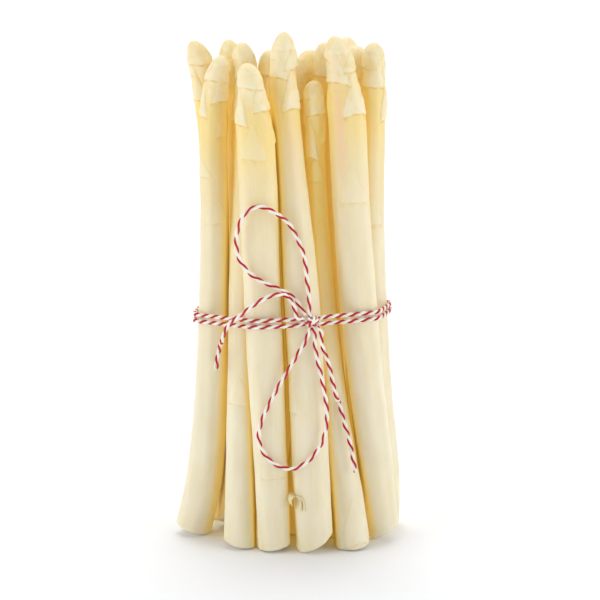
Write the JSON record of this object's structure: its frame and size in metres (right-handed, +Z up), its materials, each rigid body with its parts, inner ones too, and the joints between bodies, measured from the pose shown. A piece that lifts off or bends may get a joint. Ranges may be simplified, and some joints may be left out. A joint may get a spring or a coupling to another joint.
{
  "type": "bundle of asparagus",
  "caption": "White asparagus spears tied upright at mid height with red-and-white twine in a knot and bow, standing on their cut ends",
  "frame": {"origin": "on the surface that the cut ends stand on, under the middle of the tied stems", "axes": "+Z up along the stems, -Y towards the knot and bow, +X to the right seen from the bow"},
  "size_m": [0.0968, 0.067, 0.218],
  "materials": {
    "asparagus": "ivory asparagus skin, satin, faintly ribbed along the stem",
    "twine": "two-ply cotton twine, one ply red and one ply white"
  },
  "bodies": {
    "root": {"spear_01": "asparagus", "spear_02": "asparagus", "spear_03": "asparagus", "spear_04": "asparagus", "spear_05": "asparagus", "spear_06": "asparagus", "spear_07": "asparagus", "spear_08": "asparagus", "spear_09": "asparagus", "spear_10": "asparagus", "spear_11": "asparagus", "spear_12": "asparagus", "spear_13": "asparagus", "spear_14": "asparagus", "spear_15": "asparagus", "spear_16": "asparagus", "twine_turn_upper": "twine", "twine_turn_lower": "twine", "twine_knot": "twine", "twine_loop_upper": "twine", "twine_loop_lower": "twine", "twine_tail_left": "twine", "twine_tail_right": "twine"}
  },
  "joints": []
}
